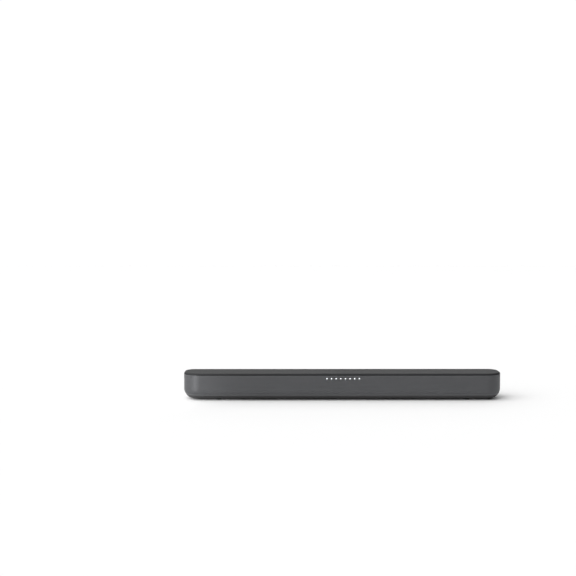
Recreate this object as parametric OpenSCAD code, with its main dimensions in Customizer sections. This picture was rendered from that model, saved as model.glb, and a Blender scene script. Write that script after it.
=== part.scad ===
/* [Case] */
// Overall width of the bar
body_w = 800; // [790:5:1000]
// Depth from the grille to the rear wall
body_d = 90; // [85:1:130]
// Height from the table to the top of the lid
body_h = 68; // [66:1:90]
// Plan radius of the two front corners
front_corner_r = 43.5; // [38:0.5:44]
// Plan radius of the two rear corners
rear_corner_r = 26; // [26:0.5:36]
// Wall thickness of the bottom case
case_wall = 2.5; // [2:0.1:3]
// Radius of the curve that runs under the case
under_r = 25; // [21:0.5:25.5]

/* [Lid] */
// Thickness of the lid
lid_wall = 2.5; // [2:0.1:3]
// Radius of the lid's rounded lip
lip_r = 4.5; // [3.5:0.1:6]

/* [Grille] */
// Thickness of the perforated sheet
grille_t = 1; // [0.6:0.1:1.2]
// Height of the plain base strip below the grille
base_strip_h = 11; // [8:0.5:14]
// Shadow gap between the grille and the lid
grille_gap = 0.5; // [0.3:0.1:1]
// Thickness of the moulded frame behind the grille
frame_t = 2; // [1.6:0.1:2.4]

/* [Feet] */
// Radius of a rubber foot
foot_r = 8; // [6:0.5:10]
// Height of a foot below the case
foot_h = 2; // [1.5:0.1:4]
// Distance of the feet from the middle of the bar
foot_x = 312; // [180:1:330]

/* [Speaker boxes] */
// Length of one sealed box
box_len = 240; // [180:1:250]
// Wall thickness of a box
box_wall = 2.5; // [2:0.1:3]
// Distance from the middle of the bar to the nearer end of a box
box_start = 120; // [118:1:125]

/* [Drivers] */
// Half the straight length of the racetrack outline
track_half = 38; // [25:1:45]
// Half the height of a driver's mounting flange
flange_r = 21.6; // [20:0.2:22]
// Radius of the voice coil
coil_r = 10; // [9:0.1:10.4]
// How far a cone moves each way
cone_travel = 2; // [1:0.1:2]

/* [Keys] */
// Distance between keys
key_pitch = 24; // [20:1:28]
// Radius of a keycap
key_r = 6; // [5:0.1:7]
// How far a key goes down
key_travel = 0.5; // [0.3:0.1:0.6]
// Gap round a keycap
key_gap = 0.4; // [0.3:0.1:0.6]

/* [Display] */
// Number of status lights
light_count = 8; // [4:1:8]
// Distance between the lights
light_pitch = 11.5; // [8:0.5:12]
// Radius of a light
light_r = 1.5; // [1:0.1:2]
// Distance of the lights below the lid's lip
light_drop = 7.7; // [6:0.1:9]

/* [Rear] */
// Depth of the connector bays
bay_depth = 10; // [8:0.5:12]
// Distance between the two wall-mount inserts
insert_pitch = 520; // [300:5:560]
// Bore radius of a wall-mount insert, tapped M5
insert_bore_r = 2.1; // [2.1:0.1:2.6]
// Bore radius of the 3.5 mm audio jack
jack_bore_r = 1.8; // [1.75:0.05:1.85]

/* [Hidden] */
$fn = 48;

// Levels
floor_z = foot_h;
floor_top = floor_z + case_wall;
curve_stop = 0.5;
under_h = under_r - curve_stop;
curve_z = floor_z + under_h;
lip_z = body_h - lip_r;
plate_z = body_h - lid_wall;
grille_lo = floor_z + base_strip_h;
grille_hi = lip_z - grille_gap;
light_z = lip_z - light_drop;

// Plan
front_y = -body_d / 2;
rear_y = body_d / 2;
front_cx = body_w / 2 - front_corner_r;
front_cy = front_y + front_corner_r;
rear_cx = body_w / 2 - rear_corner_r;
rear_cy = rear_y - rear_corner_r;
under_inset = under_r - sqrt(under_r * under_r - under_h * under_h);
joint_overlap = 4;

// Frame behind the grille, and the lips that locate it
glue_gap = 0.2;
cloth_t = 0.2;
cloth_gap = 0.2;
frame_in = grille_t + cloth_t;
frame_out = frame_in + frame_t;
tongue_in = frame_out + glue_gap;
tongue_t = 2;
case_tongue_h = 2;
lid_tongue_h = 3.5;
rail_h = 4.5;
rib_w = 8;

// Case screws and the posts they enter
post_r = 3.5;
cup_r = 4.5;
cup_h = 6;
head_r = 2.9;
head_h = 2;
shank_r = 1.4;
thread_gap = 0.05;
shank_len = 14;
pilot_len = shank_len + 2;
seat_h = 3.4;
end_post_x = box_start + box_len + 16;
mid_post_x = box_start - 6.5;
front_post_y = -22;
rear_post_y = 25;
post_places = [[-end_post_x, 0], [end_post_x, 0], [-mid_post_x, front_post_y], [mid_post_x, front_post_y],
    [-mid_post_x, rear_post_y], [mid_post_x, rear_post_y]];

// Driver, along its own axis: 0 is the front of the flange, back is negative
flange_t = 1.2;
gasket_t = 0.8;
opening_r = flange_r - 6;
basket_wall = 1;
basket_back_t = 1.2;
washer_t = 4;
magnet_t = cone_travel + 5;
yoke_t = 3;
motor_r = 16.5;
magnet_r = 17;
gap_clear = 0.5;
coil_t = 0.6;
cone_rim_r = opening_r - 3.8;
cone_front = -1.6;
cone_neck = -9.4;
cone_t = 0.7;
spider_z = -11.5;
basket_back = cone_neck - cone_travel - 3.6;
spider_t = 0.5;
bolt_angle = 50;
bolt_circle_r = flange_r - 2.5;
small_head_r = 2.2;
small_head_h = 1.2;
small_shank_r = 1;
small_shank_len = 8;

// Speaker boxes
driver_front_y = front_y + tongue_in + tongue_t + 0.2;
box_front_y = driver_front_y + flange_t + gasket_t;
box_rear_y = rear_y - 17;
cover_t = 2.5;
box_mid_x = box_start + box_len / 2;
box_lo = floor_top + 13.5;
box_hi = plate_z - 4;
box_mid_z = (box_lo + box_hi) / 2;
cover_screw_in = 6;

// Boards
board_t = 1.6;
board_z = floor_top + 17.5;
board_top = board_z + board_t;
board_front_y = -30;
main_x0 = 4;
main_x1 = 108;
power_x0 = -108;
power_x1 = -6;
standoff_r = 2.6;
standoff_in = 4;
board_screw_r = 0.9;
board_head_r = 2;
board_head_h = 1.2;
board_screw_len = 6;

// Bays in the rear wall
bay_wall = 1.6;
panel_t = 1.6;
panel_half = 118;
panel_split_x = -10;
bay_rim_y = rear_y - 1;
bay_face_y = bay_rim_y - bay_depth;
board_rear_y = bay_face_y - bay_wall - 0.9;
bay_lo = board_z - 2;
bay_hi = bay_lo + 22;
bay_gap = 0.2;
signal_x0 = 8;
signal_x1 = 100;
inlet_x = -62;
inlet_half = 20;

// Sockets
hdmi_x = 22;
hdmi_w = 15.4;
hdmi_h = 6.4;
hdmi_len = 14;
optical_x = 42;
optical_w = 10.4;
optical_len = 12;
usb_x = 62;
usb_w = 14.6;
usb_h = 7.2;
usb_len = 15;
jack_x = 84;
jack_w = 11;
jack_h = 9.6;
jack_barrel_r = 3.6;
jack_len = 14;
jack_depth = 13;
jack_z = board_top + jack_h / 2;
shell_t = 0.5;
socket_gap = 0.2;
inlet_w = 21;
inlet_h = 13;
inlet_len = 20;
inlet_z = board_top + inlet_h / 2;
inlet_r = 4.8;
inlet_pin_x = 4.3;
inlet_pin_r = 1.2;
inlet_cavity = 14;
inlet_pin_len = 12;

// Wall-mount inserts
insert_r = 3.6;
insert_len = 9;
insert_z = 40;
insert_boss_r = 6.5;
insert_boss_len = 11;

// Keys, switches and their board
key_count = 4;
key_y = 10;
flange_extra = 1.5;
key_flange_t = 1;
key_rest_gap = 0.1;
key_stem_r = 2;
key_stem_len = 2.2;
plunger_r = 1.5;
plunger_out = 0.8;
plunger_in = 1;
plunger_gap = 0.1;
switch_w = 6;
switch_h = 2.4;
key_board_half_x = (key_count / 2) * key_pitch + 4;
key_board_half_y = 10;
key_board_t = 1.2;
key_flange_z = plate_z - key_rest_gap - key_flange_t;
stem_z = key_flange_z - key_stem_len;
switch_top = stem_z - plunger_out;
key_board_z = switch_top - switch_h - key_board_t;

// Display
display_half_x = 60;
display_board_h = 18;
display_board_t = 1.5;
display_y = driver_front_y + 1;
lens_t = 1;
lens_y = front_y + grille_t + 0.3;
lens_half_x = light_count / 2 * light_pitch + 3;
lens_half_z = 2.5;
lug_w = 6;
receiver_w = 6;
receiver_x = 50;

// Cables inside the case
lead_r = 1.3;
lead_y = box_rear_y + cover_t;
left_route = [[-140, lead_y, 38], [-140, lead_y + 2.5, 38], [-140, lead_y + 4.5, 36],
    [-140, lead_y + 5, 31], [-139, lead_y + 4.5, 24], [-137, lead_y + 1.5, 17.5],
    [-132, lead_y - 5.5, 12.5], [-122, 16, 10], [-105, 11, 9], [-60, 10, 9], [0, 10, 9],
    [60, 10, 9], [84, 10, 10.5], [92, 10, 14], [96, 10, 19], [96, 10, 22]];
right_route = [[140, lead_y, 38], [140, lead_y + 2.5, 38], [140, lead_y + 4.5, 36],
    [140, lead_y + 5, 31], [139, lead_y + 4.5, 24], [137, lead_y + 1.5, 17.5],
    [132, lead_y - 5.5, 13], [124, 16, 12], [114, 6, 12], [106, 0, 14], [101, -2, 19],
    [101, -2, 22]];
display_ribbon = [30, 42];
key_ribbon = [14, 22];
key_ribbon_y = -2.6;
ribbon_t = 0.6;

// ---------------------------------------------------------------- outlines

function arc(cx, cy, r, a0, a1, n = 10) =
    [for (k = [0:n]) let (a = a0 + (a1 - a0) * k / n) [cx + r * cos(a), cy + r * sin(a)]];

function backwards(v) = [for (k = [len(v) - 1:-1:0]) v[k]];

// Plan of the bar, drawn in from its outer edge by inset
function plan_points(inset) = concat(
    arc(front_cx, front_cy, front_corner_r - inset, -90, 0),
    arc(rear_cx, rear_cy, rear_corner_r - inset, 0, 90),
    arc(-rear_cx, rear_cy, rear_corner_r - inset, 90, 180),
    arc(-front_cx, front_cy, front_corner_r - inset, 180, 270));

// The wall's section: x is the distance in from the outer edge, y is the height
function under_arc(inset, lo, hi, n = 8) =
    let (
        r = under_r - inset,
        a0 = asin((curve_z - lo) / r),
        a1 = asin((curve_z - hi) / r)
    )
    [for (k = [0:n]) let (a = a0 + (a1 - a0) * k / n) [under_r - r * cos(a), curve_z - r * sin(a)]];

function wall_line(inset, lo, hi) = concat(
    lo < curve_z ? under_arc(inset, lo, min(hi, curve_z)) : [[inset, lo]],
    hi > curve_z ? [[inset, hi]] : []);

module wall_section(outer, inner, lo, hi) {
    polygon(concat(wall_line(outer, lo, hi), backwards(wall_line(inner, lo, hi))));
}

// Racetrack outline of half height r
function track(r) = concat(
    arc(track_half, 0, r, -90, 90, 16),
    arc(-track_half, 0, r, 90, 270, 16));

module track_ring(r_out, r_in, lo, hi) {
    translate([0, 0, lo])
        linear_extrude(hi - lo)
            difference() {
                polygon(track(r_out));
                polygon(track(r_in));
            }
}

module tube(r_out, r_in, h) {
    rotate_extrude()
        translate([r_in, 0])
            square([r_out - r_in, h]);
}

module block(x0, x1, y0, y1, z0, z1) {
    translate([x0, y0, z0])
        cube([x1 - x0, y1 - y0, z1 - z0]);
}

// ---------------------------------------------------------------- rings

module corner_sweep(x, y, r, turn) {
    translate([x, y, 0])
        rotate([0, 0, turn])
            rotate_extrude(angle = 90)
                translate([r, 0])
                    mirror([1, 0])
                        children();
}

// Sweeps a wall section along the front, the front corners and both ends
module front_ring() {
    end_len = rear_cy - front_cy;
    translate([-front_cx, front_y, 0])
        rotate([90, 0, 90])
            linear_extrude(2 * front_cx)
                children();
    corner_sweep(front_cx, front_cy, front_corner_r, -90)
        children();
    corner_sweep(-front_cx, front_cy, front_corner_r, 180)
        children();
    translate([body_w / 2, front_cy, 0])
        rotate([90, 0, 180])
            linear_extrude(end_len)
                children();
    translate([-body_w / 2, rear_cy, 0])
        rotate([90, 0, 0])
            linear_extrude(end_len)
                children();
}

// Sweeps a wall section along the rear corners and the rear
module rear_ring() {
    corner_sweep(rear_cx, rear_cy, rear_corner_r, 0)
        children();
    corner_sweep(-rear_cx, rear_cy, rear_corner_r, 90)
        children();
    translate([rear_cx, rear_y, 0])
        rotate([90, 0, -90])
            linear_extrude(2 * rear_cx)
                children();
}

// ---------------------------------------------------------------- case

module floor_section() {
    outer = wall_line(0, floor_z, grille_lo);
    inner = wall_line(case_wall, floor_top, grille_lo);
    polygon(concat(outer, backwards(inner),
        [[under_inset + joint_overlap, floor_top], [under_inset + joint_overlap, floor_z]]));
}

module rear_section() {
    outer = wall_line(0, floor_z, lip_z);
    inner = wall_line(case_wall, floor_top, lip_z);
    polygon(concat(outer, backwards(inner),
        [[under_inset + joint_overlap, floor_top], [under_inset + joint_overlap, floor_z]]));
}

module case_standoff(x, y, top, r, hole_r, hole_len) {
    difference() {
        translate([x, y, floor_top - 0.5])
            cylinder(h = top - floor_top + 0.5, r = r);
        translate([x, y, top - hole_len])
            cylinder(h = hole_len + 1, r = hole_r);
    }
}

function board_corners(x0, x1) = [
    for (x = [x0 + standoff_in, x1 - standoff_in])
        for (y = [board_front_y + standoff_in, board_rear_y - standoff_in]) [x, y]];

board_places = concat(board_corners(main_x0, main_x1), board_corners(power_x0, power_x1));

module bottom_case() {
    color("#2b2b2c")
    difference() {
        union() {
            front_ring()
                floor_section();
            front_ring()
                wall_section(1, tongue_in + tongue_t, grille_lo - 3, grille_lo);
            front_ring()
                wall_section(tongue_in, tongue_in + tongue_t, grille_lo - 3, grille_lo + case_tongue_h);
            rear_ring()
                rear_section();
            translate([0, 0, floor_z])
                linear_extrude(case_wall)
                    polygon(plan_points(under_inset + joint_overlap / 2));
            for (p = post_places)
                translate([p[0], p[1], floor_z])
                    cylinder(h = cup_h, r = cup_r);
            for (p = board_places)
                case_standoff(p[0], p[1], board_z, standoff_r, board_screw_r + thread_gap, board_screw_len);
            for (side = [-1, 1])
                for (x = [box_start + 12, box_start + box_len - 12])
                    for (y = [-16, 16])
                        translate([side * x, y, floor_top - 0.5])
                            cylinder(h = box_lo - floor_top + 0.5, r = standoff_r);
            for (side = [-1, 1])
                translate([side * insert_pitch / 2, rear_y - 1, insert_z])
                    rotate([90, 0, 0])
                        cylinder(h = insert_boss_len - 1, r = insert_boss_r);
        }
        for (p = post_places)
            translate([p[0], p[1], floor_z]) {
                translate([0, 0, -1])
                    cylinder(h = seat_h + 1, r = head_r + 0.4);
                cylinder(h = cup_h + 1, r = shank_r + 0.3);
            }
        for (side = [-1, 1])
            translate([side * insert_pitch / 2, rear_y + 1, insert_z])
                rotate([90, 0, 0])
                    cylinder(h = insert_len + 1, r = insert_r);
        block(-panel_half - bay_gap, panel_half + bay_gap, rear_y - case_wall - 2, rear_y + 1,
            bay_lo, lip_z + 1);
    }
}

module lip_section() {
    inner = lip_r + joint_overlap;
    polygon(concat(
        [[case_wall, lip_z], [0, lip_z]],
        backwards(arc(lip_r, lip_z, lip_r, 90, 180, 8)),
        [[inner, body_h], [inner, plate_z], [case_wall, plate_z]]));
    translate([tongue_in, lip_z - lid_tongue_h])
        square([tongue_t, plate_z - lip_z + lid_tongue_h + 0.5]);
}

function key_x(k) = (k - (key_count - 1) / 2) * key_pitch;

module lid_post(x, y, r, lo, hole_r, hole_len) {
    difference() {
        translate([x, y, lo])
            cylinder(h = plate_z + 0.5 - lo, r = r);
        translate([x, y, lo - 1])
            cylinder(h = hole_len + 1, r = hole_r);
    }
}

key_post_places = [for (x = [-1, 1]) for (y = [-1, 1])
    [x * (key_board_half_x - 3), key_y + y * (key_board_half_y - 3)]];

module top_cover() {
    color("#3a3a3c")
    union() {
        difference() {
            union() {
                front_ring()
                    lip_section();
                rear_ring()
                    lip_section();
                translate([0, 0, plate_z])
                    linear_extrude(lid_wall)
                        polygon(plan_points(lip_r + joint_overlap / 2));
            }
            for (k = [0:key_count - 1])
                translate([key_x(k), key_y, plate_z - 1])
                    cylinder(h = lid_wall + 2, r = key_r + key_gap);
            block(-display_half_x - lug_w, display_half_x + lug_w, front_y + frame_out, driver_front_y + 1,
                lip_z - lid_tongue_h - 1, plate_z);
        }
        for (p = post_places)
            lid_post(p[0], p[1], post_r, floor_z + cup_h, shank_r + thread_gap, pilot_len);
        for (p = key_post_places)
            lid_post(p[0], p[1], standoff_r, key_board_z + key_board_t, board_screw_r + thread_gap, 4);
    }
}

module front_grille() {
    color("#4a4a4c")
    front_ring()
        wall_section(0, grille_t, grille_lo, grille_hi);
}

// Black cloth glued inside the sheet, cut away where the lights shine through
module grille_cloth() {
    color("#121212")
    difference() {
        front_ring()
            wall_section(grille_t, frame_in, grille_lo, grille_hi);
        block(-lens_half_x - cloth_gap, lens_half_x + cloth_gap, front_y, front_y + frame_out,
            light_z - lens_half_z - cloth_gap, light_z + lens_half_z + cloth_gap);
    }
}

module grille_window(x0, x1) {
    block(x0, x1, front_y - 1, front_y + frame_out + 2, grille_lo + rail_h + 1, grille_hi - rail_h);
}

module grille_frame() {
    window_end = box_start + box_len - 15;
    color("#1c1c1d")
    union() {
        difference() {
            front_ring()
                wall_section(frame_in, frame_out, grille_lo, lip_z);
            grille_window(-box_start + 1.5 * rib_w, box_start - 1.5 * rib_w);
            for (side = [-1, 1])
                translate([side * (box_start + window_end) / 2, 0, 0])
                    grille_window(-(window_end - box_start) / 2, (window_end - box_start) / 2);
        }
        for (side = [-1, 1])
            translate([side * (display_half_x - lug_w), 0, 0])
                block(-lug_w / 2, lug_w / 2, front_y + frame_in + 0.5, display_y, grille_hi - 3, grille_hi);
    }
}

module rubber_feet() {
    color("#171717")
    for (x = [-foot_x, foot_x])
        for (y = [-1, 1])
            translate([x, y * (body_d / 2 - under_inset - foot_r), 0])
                cylinder(h = foot_h, r = foot_r);
}

// A panel in the rear wall, from x0 to x1, with a recess from bay_x0 to bay_x1
module bay_panel(x0, x1, bay_x0, bay_x1, cavity_y) {
    difference() {
        union() {
            block(x0, x1, bay_rim_y - panel_t, bay_rim_y, bay_lo, lip_z);
            block(bay_x0, bay_x1, bay_face_y - bay_wall, bay_rim_y, bay_lo, bay_hi);
        }
        block(bay_x0 + bay_wall, bay_x1 - bay_wall, cavity_y, bay_rim_y + 1,
            bay_lo + bay_wall, bay_hi - bay_wall);
    }
}

module face_hole(x, w, z0, h) {
    block(x - w / 2 - socket_gap, x + w / 2 + socket_gap, bay_face_y - bay_wall - 1, bay_face_y + 1,
        z0 - socket_gap, z0 + h + socket_gap);
}

module connector_bay() {
    color("#242425")
    bay_panel(panel_split_x + bay_gap, panel_half, signal_x0, signal_x1, bay_face_y - bay_wall - 1);
}

module socket_plate() {
    color("#242425")
    difference() {
        block(signal_x0 + bay_wall, signal_x1 - bay_wall, bay_face_y - bay_wall, bay_face_y,
            bay_lo + bay_wall, bay_hi - bay_wall);
        face_hole(hdmi_x, hdmi_w, board_top, hdmi_h);
        face_hole(optical_x, optical_w, board_top, optical_w);
        face_hole(usb_x, usb_w, board_top, usb_h);
        translate([jack_x, bay_face_y + 1, jack_z])
            rotate([90, 0, 0])
                cylinder(h = bay_wall + 2, r = jack_barrel_r + socket_gap);
    }
}

module inlet_bay() {
    color("#242425")
    difference() {
        bay_panel(-panel_half, panel_split_x - bay_gap,
            inlet_x - inlet_half, inlet_x + inlet_half, bay_face_y);
        face_hole(inlet_x, inlet_w, board_top, inlet_h);
    }
}

module wall_inserts() {
    color("#b9944a")
    for (side = [-1, 1])
        translate([side * insert_pitch / 2, rear_y, insert_z])
            rotate([90, 0, 0])
                tube(insert_r, insert_bore_r, insert_len);
}

// ---------------------------------------------------------------- speakers

module to_driver(side) {
    translate([side * box_mid_x, driver_front_y, box_mid_z])
        rotate([90, 0, 0])
            children();
}

module box_screw_places(side) {
    for (x = [-1, 1])
        for (z = [box_lo + cover_screw_in, box_hi - cover_screw_in])
            translate([side * box_mid_x + x * (box_len / 2 - cover_screw_in), 0, z])
                children();
}

module speaker_box(side) {
    x0 = side * box_mid_x - box_len / 2;
    x1 = side * box_mid_x + box_len / 2;
    color("#202021")
    difference() {
        union() {
            difference() {
                block(x0, x1, box_front_y, box_rear_y, box_lo, box_hi);
                block(x0 + box_wall, x1 - box_wall, box_front_y + box_wall, box_rear_y + 1,
                    box_lo + box_wall, box_hi - box_wall);
            }
            box_screw_places(side)
                translate([0, box_rear_y, 0])
                    rotate([90, 0, 0])
                        cylinder(h = 14, r = 4);
        }
        box_screw_places(side)
            translate([0, box_rear_y + 1, 0])
                rotate([90, 0, 0])
                    cylinder(h = 11, r = small_shank_r + thread_gap);
        to_driver(side) {
            translate([0, 0, -flange_t - gasket_t - box_wall - 1])
                linear_extrude(box_wall + 2)
                    polygon(track(opening_r + basket_wall + 0.4));
            driver_bolts()
                translate([0, 0, -10])
                    cylinder(h = 10, r = small_shank_r + thread_gap);
        }
    }
}

module box_cover(side) {
    color("#202021")
    difference() {
        block(side * box_mid_x - box_len / 2, side * box_mid_x + box_len / 2,
            box_rear_y, box_rear_y + cover_t, box_lo, box_hi);
        box_screw_places(side)
            translate([0, box_rear_y + cover_t + 1, 0])
                rotate([90, 0, 0])
                    cylinder(h = cover_t + 2, r = small_shank_r + 0.2);
    }
}

module driver_bolts() {
    for (sx = [-1, 1])
        for (sy = [-1, 1])
            translate([sx * (track_half + bolt_circle_r * cos(bolt_angle)),
                    sy * bolt_circle_r * sin(bolt_angle), 0])
                children();
}

module basket(side) {
    color("#39393b")
    to_driver(side)
        difference() {
            union() {
                track_ring(flange_r, opening_r, -flange_t, 0);
                track_ring(opening_r + basket_wall, opening_r, basket_back, -flange_t);
                track_ring(opening_r + basket_wall, 2, basket_back, basket_back + basket_back_t);
            }
            translate([0, 0, basket_back - 1])
                cylinder(h = basket_back_t + 2, r = coil_r + 2);
            for (x = [-1, 1])
                translate([x * (track_half - 4), 0, basket_back - 1])
                    cylinder(h = basket_back_t + 2, r = 8);
            driver_bolts()
                translate([0, 0, -flange_t - 1])
                    cylinder(h = flange_t + 2, r = small_shank_r + 0.2);
        }
}

module gasket(side) {
    color("#101010")
    to_driver(side)
        difference() {
            track_ring(flange_r - 0.4, opening_r + basket_wall + 0.4, -flange_t - gasket_t, -flange_t);
            driver_bolts()
                translate([0, 0, -flange_t - gasket_t - 1])
                    cylinder(h = gasket_t + 2, r = small_shank_r + 0.2);
        }
}

module magnet(side) {
    color("#4b4b50")
    to_driver(side)
        translate([0, 0, basket_back - washer_t - magnet_t])
            tube(magnet_r, coil_r + 1.5, magnet_t);
}

module yoke(side) {
    color("#9a9a9c")
    to_driver(side) {
        translate([0, 0, basket_back - washer_t])
            tube(motor_r, coil_r + coil_t / 2 + gap_clear, washer_t);
        translate([0, 0, basket_back - washer_t - magnet_t - yoke_t]) {
            cylinder(h = yoke_t, r = motor_r);
            cylinder(h = yoke_t + magnet_t + washer_t, r = coil_r - coil_t / 2 - gap_clear);
        }
    }
}

module cone(side) {
    color("#1a1a1b")
    to_driver(side)
        difference() {
            hull() {
                translate([0, 0, cone_front - cone_t])
                    linear_extrude(cone_t)
                        polygon(track(cone_rim_r));
                translate([0, 0, cone_neck])
                    cylinder(h = 0.4, r = coil_r + 0.6);
            }
            hull() {
                translate([0, 0, cone_front])
                    linear_extrude(cone_t)
                        polygon(track(cone_rim_r - cone_t));
                translate([0, 0, cone_neck + cone_t])
                    cylinder(h = 0.4, r = coil_r - 0.3);
            }
        }
}

module voice_coil(side) {
    color("#b5713a")
    to_driver(side)
        translate([0, 0, basket_back - washer_t - 1])
            tube(coil_r + coil_t / 2, coil_r - coil_t / 2, cone_neck - basket_back + washer_t + 1);
}

module surround(side) {
    color("#0e0e0e")
    to_driver(side)
        track_ring(opening_r - 0.2, cone_rim_r + 0.2, -flange_t - 1, -flange_t);
}

module spider(side) {
    color("#a08a5a")
    to_driver(side)
        translate([0, 0, spider_z])
            tube(opening_r - 0.2, coil_r + 0.8, spider_t);
}

// ---------------------------------------------------------------- boards

module board(x0, x1) {
    difference() {
        block(x0, x1, board_front_y, board_rear_y, board_z, board_top);
        for (p = board_corners(x0, x1))
            translate([p[0], p[1], board_z - 1])
                cylinder(h = board_t + 2, r = board_screw_r + 0.3);
    }
}

module main_board() {
    color("#1f4d33")
    board(main_x0, main_x1);
}

module power_board() {
    color("#8a6a2a")
    board(power_x0, power_x1);
}

module amplifier_heat_sink() {
    sink_x = main_x0 + 44;
    fin_pitch = 6;
    color("#8e9093")
    union() {
        block(sink_x - 12, sink_x + 12, -16, 0, board_top, board_top + 1.6);
        block(sink_x - 26, sink_x + 26, -22, 6, board_top + 1.5, board_top + 4.5);
        for (k = [-4:4])
            block(sink_x + k * fin_pitch - 0.8, sink_x + k * fin_pitch + 0.8, -22, 6,
                board_top + 4, board_top + 20);
    }
}

module wireless_module() {
    color("#b8bbbd")
    union() {
        block(86, 104, -16, 10, board_top, board_top + 1);
        block(88, 102, -8, 8, board_top + 0.9, board_top + 3.2);
    }
}

module hdmi_socket() {
    y0 = bay_face_y - hdmi_len;
    color("#b4b6b8")
    union() {
        difference() {
            block(hdmi_x - hdmi_w / 2, hdmi_x + hdmi_w / 2, y0, bay_face_y, board_top, board_top + hdmi_h);
            block(hdmi_x - hdmi_w / 2 + shell_t, hdmi_x + hdmi_w / 2 - shell_t, y0 + 3, bay_face_y + 1,
                board_top + shell_t, board_top + hdmi_h - shell_t);
        }
        block(hdmi_x - 5.5, hdmi_x + 5.5, y0 + 2.5, bay_face_y - 1, board_top + hdmi_h / 2 - 0.6,
            board_top + hdmi_h / 2 + 0.6);
    }
}

module optical_socket() {
    y0 = bay_face_y - optical_len;
    color("#262627")
    difference() {
        block(optical_x - optical_w / 2, optical_x + optical_w / 2, y0, bay_face_y,
            board_top, board_top + optical_w);
        block(optical_x - optical_w / 2 + 0.9, optical_x + optical_w / 2 - 0.9, y0 + 2, bay_face_y + 1,
            board_top + 0.9, board_top + optical_w - 0.9);
    }
}

module usb_socket() {
    y0 = bay_face_y - usb_len;
    color("#b4b6b8")
    union() {
        difference() {
            block(usb_x - usb_w / 2, usb_x + usb_w / 2, y0, bay_face_y, board_top, board_top + usb_h);
            block(usb_x - usb_w / 2 + shell_t, usb_x + usb_w / 2 - shell_t, y0 + 3, bay_face_y + 1,
                board_top + shell_t, board_top + usb_h - shell_t);
        }
        block(usb_x - 5.6, usb_x + 5.6, y0 + 2.5, bay_face_y - 1, board_top + usb_h - 3,
            board_top + usb_h - 1.2);
    }
}

module aux_jack() {
    y0 = bay_face_y - jack_len;
    color("#2a2a2b")
    difference() {
        union() {
            block(jack_x - jack_w / 2, jack_x + jack_w / 2, y0, bay_face_y - bay_wall - 0.2,
                board_top, board_top + jack_h);
            translate([jack_x, bay_face_y, jack_z])
                rotate([90, 0, 0])
                    cylinder(h = bay_wall + 1, r = jack_barrel_r);
        }
        translate([jack_x, bay_face_y + 1, jack_z])
            rotate([90, 0, 0])
                cylinder(h = jack_depth + 1, r = jack_bore_r);
    }
}

module mains_inlet() {
    y0 = bay_face_y - inlet_len;
    color("#19191a")
    union() {
        difference() {
            block(inlet_x - inlet_w / 2, inlet_x + inlet_w / 2, y0, bay_face_y,
                board_top, board_top + inlet_h);
            translate([inlet_x, bay_face_y + 1, inlet_z])
                rotate([90, 0, 0])
                    linear_extrude(inlet_cavity + 1)
                        polygon(concat(arc(inlet_pin_x - 0.3, 0, inlet_r, -90, 90, 12),
                            arc(-inlet_pin_x + 0.3, 0, inlet_r, 90, 270, 12)));
        }
        for (side = [-1, 1])
            translate([inlet_x + side * inlet_pin_x, bay_face_y - inlet_cavity + inlet_pin_len, inlet_z])
                rotate([90, 0, 0])
                    cylinder(h = inlet_pin_len + 2, r = inlet_pin_r);
    }
}

module transformer() {
    color("#c9a227")
    union() {
        block(-86, -54, -22, 2, board_top, board_top + 5);
        block(-82, -58, -25, 5, board_top + 4.5, board_top + 22);
        block(-85, -55, -18, -2, board_top + 4.5, board_top + 24);
    }
}

module power_capacitors() {
    color("#23344f")
    for (c = [[-34, -14, 9, 28], [-34, 8, 6.5, 22], [-17, 6, 5, 18], [-17, -12, 5, 18], [-94, 18, 5, 16]])
        translate([c[0], c[1], board_top])
            cylinder(h = c[3], r = c[2]);
}

// ---------------------------------------------------------------- display and keys

module display_board() {
    color("#1f4d33")
    block(-display_half_x, display_half_x, display_y, display_y + display_board_t,
        grille_hi - display_board_h, grille_hi);
}

module status_lights() {
    color("white")
    for (k = [0:light_count - 1])
        translate([(k - (light_count - 1) / 2) * light_pitch, display_y, light_z])
            rotate([90, 0, 0])
                cylinder(h = display_y - lens_y - lens_t, r = light_r);
}

module display_lens() {
    color("#5a5d60")
    block(-lens_half_x, lens_half_x, lens_y, lens_y + lens_t, light_z - lens_half_z, light_z + lens_half_z);
}

module remote_receiver() {
    color("#2b0f12")
    block(receiver_x - receiver_w / 2, receiver_x + receiver_w / 2, display_y - 2, display_y,
        light_z - lens_half_z - 7, light_z - lens_half_z - 1);
}

module key_board() {
    color("#1f4d33")
    difference() {
        block(-key_board_half_x, key_board_half_x, key_y - key_board_half_y, key_y + key_board_half_y,
            key_board_z, key_board_z + key_board_t);
        for (p = key_post_places)
            translate([p[0], p[1], key_board_z - 1])
                cylinder(h = key_board_t + 2, r = board_screw_r + 0.3);
    }
}

module key_switches() {
    color("#a9abad")
    for (k = [0:key_count - 1])
        difference() {
            translate([key_x(k) - switch_w / 2, key_y - switch_w / 2, key_board_z + key_board_t])
                cube([switch_w, switch_w, switch_h]);
            translate([key_x(k), key_y, switch_top - plunger_in - key_travel - 0.2])
                cylinder(h = plunger_in + key_travel + 1.2, r = plunger_r + plunger_gap);
        }
}

module keycap(k) {
    color("#333335")
    translate([key_x(k), key_y, 0])
        union() {
            translate([0, 0, key_flange_z])
                cylinder(h = body_h - key_flange_z, r = key_r);
            translate([0, 0, key_flange_z])
                cylinder(h = key_flange_t, r = key_r + flange_extra);
            translate([0, 0, stem_z])
                cylinder(h = key_stem_len + 0.5, r = key_stem_r);
        }
}

module plunger(k) {
    color("#151515")
    translate([key_x(k), key_y, switch_top - plunger_in])
        cylinder(h = plunger_in + plunger_out, r = plunger_r);
}

// ---------------------------------------------------------------- fasteners

module pan_screw(hr, hh, sr, length) {
    rotate_extrude()
        polygon([[0, hh], [hr * 0.7, hh], [hr, hh * 0.5], [hr, 0], [sr, 0], [sr, -length], [0, -length]]);
}

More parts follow.
